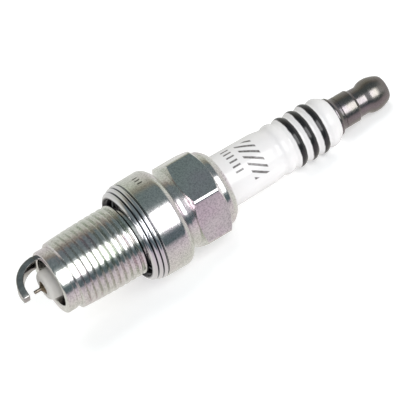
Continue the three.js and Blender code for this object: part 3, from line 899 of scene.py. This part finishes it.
def bright_sheet():
    material, tree, shader = new_finish("bright_sheet")
    tone = graded(
        tree,
        speckle(tree, 6, detail=1),
        [(0.35, (0.82, 0.82, 0.84)), (0.65, (0.87, 0.86, 0.9))],
    )
    # Painted shade: the gasket's inner front edge, bore and lip, close to the axis, are painted
    # near-black, as if shaded inside the ring.
    out = arithmetic(tree, "DIVIDE", from_axis(tree), shade_scale)
    painted_bore_shade = graded(
        tree,
        out,
        [(shade_end / shade_scale, (0.03, 0.03, 0.035)), (light_start / shade_scale, (1, 1, 1))],
    )
    bore_shaded = blended(tree, tone, painted_bore_shade, 1.0, "MULTIPLY")
    x = along_axis(tree)
    # Painted shade: dark grey lines along the three creases, as if shade fell in the folds.
    crease_shade = largest(tree, [inside(tree, x, low, high, 0.05) for low, high in gasket_crease_shade_spans])
    crease_shaded = blended(tree, bore_shaded, (0.13, 0.145, 0.155), crease_shade)
    tree.links.new(crease_shaded, shader.inputs["Base Color"])
    grey = graded(tree, speckle(tree, 0.6), [(0.3, 0.06), (0.7, 0.12)])
    tree.links.new(grey, shader.inputs["Roughness"])
    shader.inputs["Metallic"].default_value = 1
    roughened(tree, shader, speckle(tree, 0.3, detail=2), 0.004, 0.5)
    return material


gasket_piece = made_piece("folded_gasket", turned(gasket_profile), bright_sheet(), 40)
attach(gasket_piece, "gasket")
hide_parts("gasket")

# ------------------------------------------------------------------------------------------------
# Seat washer and packing. A soft steel washer under the insulator's shoulder, and two steel wire
# rings with pressed talc between them under the rolled rim, make the plug gas tight.
packing_steel = inner_finish(
    "packing_steel", (0.45, 0.45, 0.45), (0.62, 0.62, 0.61), 0.4, (0.35, 0.5), 1
)
for node in ("seat_washer", "lower_packing_ring", "upper_packing_ring"):
    given_finish(node, packing_steel)
pressed_talc = inner_finish(
    "pressed_talc", (0.74, 0.72, 0.68), (0.88, 0.86, 0.82), 0.5, (0.85, 0.97), 0
)
given_finish("talc_ring", pressed_talc)

# ------------------------------------------------------------------------------------------------
# Table, light and camera. The pale matt table is laid through the lowest points of the collar and
# the terminal, so the hexagon's lower corner dips into it. A big soft box stands by the camera,
# two more off the firing end and one overhead. The pale room has a dark ceiling.
scene = bpy.context.scene
scene.view_settings.view_transform = "Standard"

table_half_size = 1500
rest_collar = Vector((4.9, 0, -collar_radius))
rest_terminal = Vector((50.5, 0, -3.2))
slope = math.atan2(rest_terminal.z - rest_collar.z, rest_terminal.x - rest_collar.x)
table_bm = bmesh.new()
bmesh.ops.create_grid(table_bm, x_segments=8, y_segments=8, size=table_half_size)
sloped = Matrix.Rotation(-slope, 3, "Y")
bmesh.ops.rotate(table_bm, cent=(0, 0, 0), matrix=sloped, verts=table_bm.verts)
bmesh.ops.translate(table_bm, vec=rest_collar, verts=table_bm.verts)


def pale_table():
    material, tree, shader = new_finish("pale_table")
    tone = graded(
        tree,
        speckle(tree, 30, detail=2),
        [(0.3, (0.86, 0.86, 0.86)), (0.7, (0.88, 0.88, 0.88))],
    )
    tree.links.new(tone, shader.inputs["Base Color"])
    shader.inputs["Roughness"].default_value = 0.9
    shader.inputs["Specular IOR Level"].default_value = 0.1
    shader.inputs["Emission Color"].default_value = (1, 1, 1, 1)
    shader.inputs["Emission Strength"].default_value = 0.34
    return material


table = made_piece("table", table_bm, pale_table())
table.visible_glossy = False

world = bpy.data.worlds.new("studio")
world.use_nodes = True
scene.world = world
sky = world.node_tree
direction = sky.nodes.new("ShaderNodeTexCoord")
parts = sky.nodes.new("ShaderNodeSeparateXYZ")
sky.links.new(direction.outputs["Generated"], parts.inputs["Vector"])
front = arithmetic(sky, "MULTIPLY", parts.outputs["Y"], -1.0)
round_room = arithmetic(sky, "ARCTAN2", parts.outputs["Z"], front)
round_share = arithmetic(sky, "ADD", arithmetic(sky, "MULTIPLY", round_room, 0.5 / math.pi), 0.5)


def room_stop(degrees, colour):
    """A colour of the room at an angle up from the front of the table, over the top to the back."""
    return ((degrees + 180) / 360, colour)


room = graded(
    sky,
    round_share,
    [
        room_stop(-180, (0.68, 0.68, 0.66)),
        room_stop(-150, (0.74, 0.73, 0.70)),
        room_stop(-95, (0.70, 0.67, 0.64)),
        room_stop(-50, (0.70, 0.62, 0.66)),
        room_stop(-30, (0.54, 0.47, 0.53)),
        room_stop(-23, (0.10, 0.135, 0.15)),
        room_stop(-4, (0.10, 0.135, 0.15)),
        room_stop(8, (0.58, 0.61, 0.63)),
        room_stop(54, (0.58, 0.61, 0.63)),
        room_stop(66, (0.16, 0.195, 0.205)),
        room_stop(104, (0.16, 0.195, 0.205)),
        room_stop(118, (0.26, 0.24, 0.20)),
        room_stop(138, (0.54, 0.55, 0.49)),
        room_stop(180, (0.68, 0.68, 0.66)),
    ],
)


def toward(tree, value, start, full):
    """0 at start and 1 at full, straight between."""
    step = tree.nodes.new("ShaderNodeMapRange")
    step.inputs["From Min"].default_value = start
    step.inputs["From Max"].default_value = full
    tree.links.new(value, step.inputs["Value"])
    return step.outputs["Result"]


room = blended(sky, room, (0.07, 0.085, 0.095), toward(sky, parts.outputs["X"], -0.86, -0.93))
room = blended(sky, room, (0.66, 0.66, 0.63), toward(sky, parts.outputs["X"], 0.7, 0.9))
background = sky.nodes["Background"]
sky.links.new(room, background.inputs["Color"])
background.inputs["Strength"].default_value = 1.0


plug_middle = Vector((16, 0, 0)) * MM


def soft_box(name, direction, distance, across, wide, high, radiance):
    """A flat lamp that faces the plug. across is the way its wide side runs."""
    lamp = bpy.data.objects.new(name, bpy.data.lights.new(name, "AREA"))
    scene.collection.objects.link(lamp)
    lamp.data.shape = "RECTANGLE"
    lamp.data.size, lamp.data.size_y = wide, high
    lamp.data.energy = radiance * math.pi * wide * high
    back = Vector(direction).normalized()
    up = back.cross(Vector(across)).normalized()
    turn = Matrix((up.cross(back), up, back)).transposed().to_4x4()
    lamp.matrix_world = Matrix.Translation(plug_middle + back * distance) @ turn
    return lamp


soft_box("front_box", (0.24, -0.83, 0.50), 0.9, (1, 0, 0), 0.75, 0.74, 3.1)
soft_box("side_box", (-0.95, -0.222, 0.153), 0.8, (0, -0.824, 0.566), 0.95, 0.28, 1.6)
soft_box("glint_box", (-0.93, 0.366, 0.01), 0.8, (0, 1, 0), 0.07, 0.07, 3.0)
overhead = soft_box("overhead_box", (0.05, 0.35, 0.93), 0.9, (1, 0, 0), 0.7, 0.7, 2.3)
overhead.visible_glossy = False

# The camera stands in front of the firing end and looks down on the plug, rolled so that the
# terminal points to the upper right.
camera = bpy.data.objects.new("camera", bpy.data.cameras.new("camera"))
scene.collection.objects.link(camera)
camera.data.sensor_width = 36
camera.data.lens = 288
camera.data.clip_start, camera.data.clip_end = 0.05, 10
camera_place = (-0.1479, -0.4526, 0.3110)
camera_right = Vector((0.8265, -0.4872, -0.2819))
camera_up = Vector((0.4882, 0.3713, 0.7898))
camera_axes = (camera_right, camera_up, camera_right.cross(camera_up))
camera_turn = Matrix(camera_axes).transposed().to_4x4()
camera.matrix_world = Matrix.Translation(camera_place) @ camera_turn
scene.camera = camera
